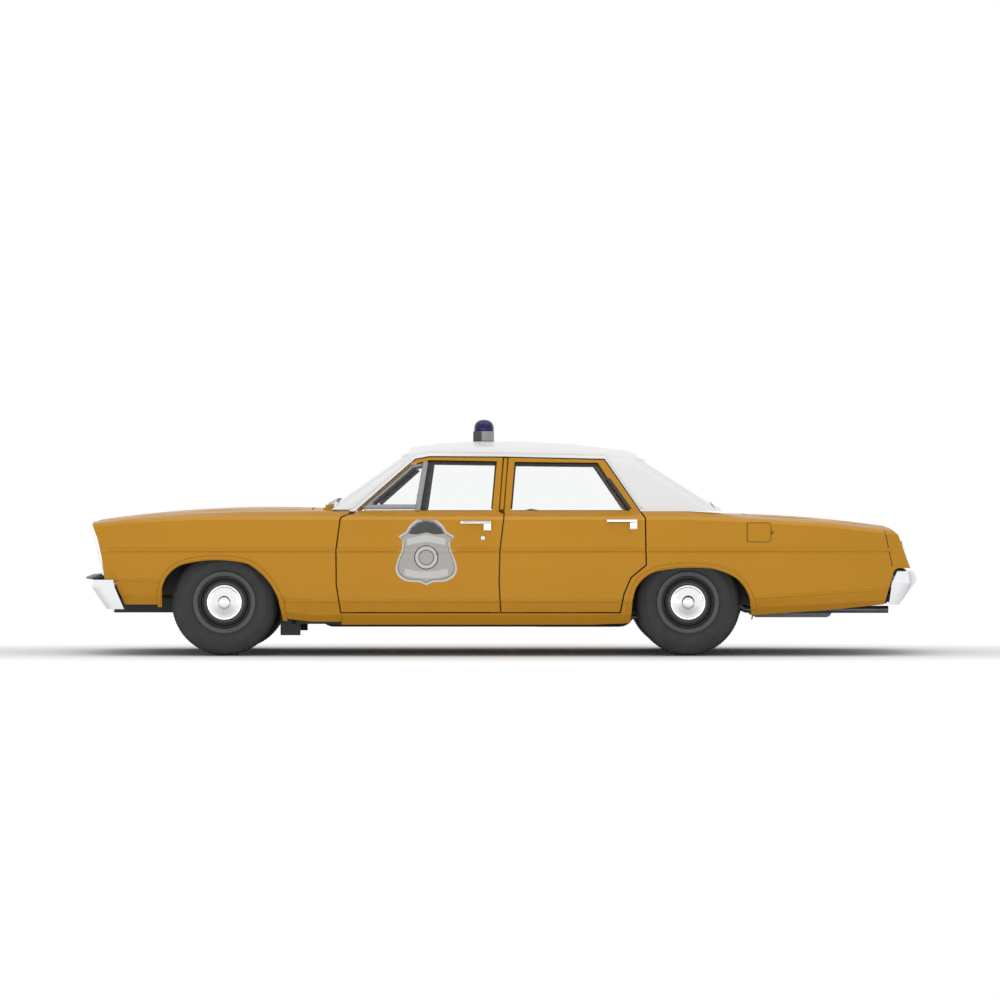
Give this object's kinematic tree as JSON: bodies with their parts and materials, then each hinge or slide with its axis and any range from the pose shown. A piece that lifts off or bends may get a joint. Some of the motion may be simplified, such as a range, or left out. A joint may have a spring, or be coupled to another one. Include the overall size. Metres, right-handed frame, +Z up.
{
  "type": "police patrol sedan",
  "caption": "Full-size patrol sedan with opening doors, hood, trunk lid and fuel door, steered front wheels, rolling wheels and a roof beacon.",
  "frame": {"origin": "on the ground under the middle of the car's overall box", "axes": "+X towards the nose, +Y towards the car's left side, +Z up"},
  "size_m": [5.434, 2.0126, 1.553],
  "materials": {
    "paint": "metallic gold, clear coat",
    "white_paint": "gloss white",
    "chrome": "polished",
    "underbody": "satin black",
    "steel": "plain",
    "iron": "cast",
    "glass": "clear",
    "lamp_red": "red lens",
    "beacon_blue": "dark blue lens",
    "tyre": "matte",
    "wheel_paint": "satin dark grey",
    "trim_black": "grained",
    "seat_cloth": "woven"
  },
  "bodies": {
    "body": {"perimeter_frame": "underbody", "body_floor": "underbody", "side_frames": "paint", "front_fenders": "paint", "quarter_panels": "paint", "roof_panel": "white_paint", "cowl_panel": "paint", "rear_deck": "paint", "grille": "chrome", "headlamps": "chrome", "front_bumper": "chrome", "rear_bumper": "chrome", "tail_panel": "paint", "tail_lamps": "lamp_red", "windshield": "glass", "rear_window": "glass", "dashboard": "trim_black", "front_seat": "seat_cloth", "rear_seat": "seat_cloth", "engine_block": "iron", "exhaust_system": "steel", "fuel_tank": "steel", "rear_axle": "iron", "front_suspension": "steel", "rear_suspension": "steel", "beacon_base": "chrome", "beacon_dome": "beacon_blue"},
    "knuckle_left": {"knuckle_left": "iron"},
    "knuckle_right": {"knuckle_right": "iron"},
    "tie_rod": {"tie_rod": "steel"},
    "steering_wheel": {"steering_wheel": "trim_black"},
    "hood": {"hood": "paint"},
    "trunk_lid": {"trunk_lid": "paint"},
    "fuel_door": {"fuel_door": "paint"},
    "wheel_front_left": {"tyre_front_left": "tyre", "wheel_front_left": "wheel_paint"},
    "door_front_left": {"door_front_left": "paint", "glass_front_left": "glass"},
    "wheel_front_right": {"tyre_front_right": "tyre", "wheel_front_right": "wheel_paint"},
    "door_front_right": {"door_front_right": "paint", "glass_front_right": "glass"},
    "wheel_rear_left": {"tyre_rear_left": "tyre", "wheel_rear_left": "wheel_paint"},
    "door_rear_left": {"door_rear_left": "paint", "glass_rear_left": "glass"},
    "wheel_rear_right": {"tyre_rear_right": "tyre", "wheel_rear_right": "wheel_paint"},
    "door_rear_right": {"door_rear_right": "paint", "glass_rear_right": "glass"}
  },
  "joints": [
    {"name": "steer_left", "type": "hinge", "parent": "body", "child": "knuckle_left", "pos_m": [1.797, 0.74, 0.348], "axis": [0, 0, 1], "range_deg": [-30, 30]},
    {"name": "spin_front_left", "type": "hinge", "parent": "knuckle_left", "child": "wheel_front_left", "pos_m": [1.797, 0.787, 0.348], "axis": [0, 1, 0], "continuous": true},
    {"name": "spin_rear_left", "type": "hinge", "parent": "body", "child": "wheel_rear_left", "pos_m": [-1.226, 0.787, 0.348], "axis": [0, 1, 0], "continuous": true},
    {"name": "door_front_left_swing", "type": "hinge", "parent": "body", "child": "door_front_left", "pos_m": [0.956, 0.96, 0.62], "axis": [0, 0, -1], "range_deg": [0, 65]},
    {"name": "door_rear_left_swing", "type": "hinge", "parent": "body", "child": "door_rear_left", "pos_m": [-0.104, 0.96, 0.62], "axis": [0, 0, -1], "range_deg": [0, 65]},
    {"name": "steer_right", "type": "hinge", "parent": "body", "child": "knuckle_right", "pos_m": [1.797, -0.74, 0.348], "axis": [0, 0, 1], "range_deg": [-30, 30]},
    {"name": "spin_front_right", "type": "hinge", "parent": "knuckle_right", "child": "wheel_front_right", "pos_m": [1.797, -0.787, 0.348], "axis": [0, 1, 0], "continuous": true},
    {"name": "spin_rear_right", "type": "hinge", "parent": "body", "child": "wheel_rear_right", "pos_m": [-1.226, -0.787, 0.348], "axis": [0, 1, 0], "continuous": true},
    {"name": "door_front_right_swing", "type": "hinge", "parent": "body", "child": "door_front_right", "pos_m": [0.956, -0.96, 0.62], "axis": [0, 0, 1], "range_deg": [0, 65]},
    {"name": "door_rear_right_swing", "type": "hinge", "parent": "body", "child": "door_rear_right", "pos_m": [-0.104, -0.96, 0.62], "axis": [0, 0, 1], "range_deg": [0, 65]},
    {"name": "tie_rod_swing", "type": "hinge", "parent": "knuckle_left", "child": "tie_rod", "pos_m": [1.707, 0.74, 0.235], "axis": [0, 0, 1], "range_deg": [-30, 30]},
    {"name": "steering_turn", "type": "hinge", "parent": "body", "child": "steering_wheel", "pos_m": [0.451, 0.38, 0.87], "axis": [-0.8942, 0, 0.4478], "range_deg": [-600, 600]},
    {"name": "hood_lift", "type": "hinge", "parent": "body", "child": "hood", "pos_m": [1.335, 0, 0.9223], "axis": [0, -1, 0], "range_deg": [0, 50]},
    {"name": "trunk_lift", "type": "hinge", "parent": "body", "child": "trunk_lid", "pos_m": [-1.713, 0, 0.8779], "axis": [0, 1, 0], "range_deg": [0, 70]},
    {"name": "fuel_door_swing", "type": "hinge", "parent": "body", "child": "fuel_door", "pos_m": [-1.617, 0.96, 0.8055], "axis": [0, 0.0872, -0.9962], "range_deg": [0, 100]}
  ],
  "couplings": [
    {"joint": "steer_right", "follows": "steer_left", "ratio": 1},
    {"joint": "tie_rod_swing", "follows": "steer_left", "ratio": -1},
    {"joint": "steering_turn", "follows": "steer_left", "ratio": 20}
  ]
}
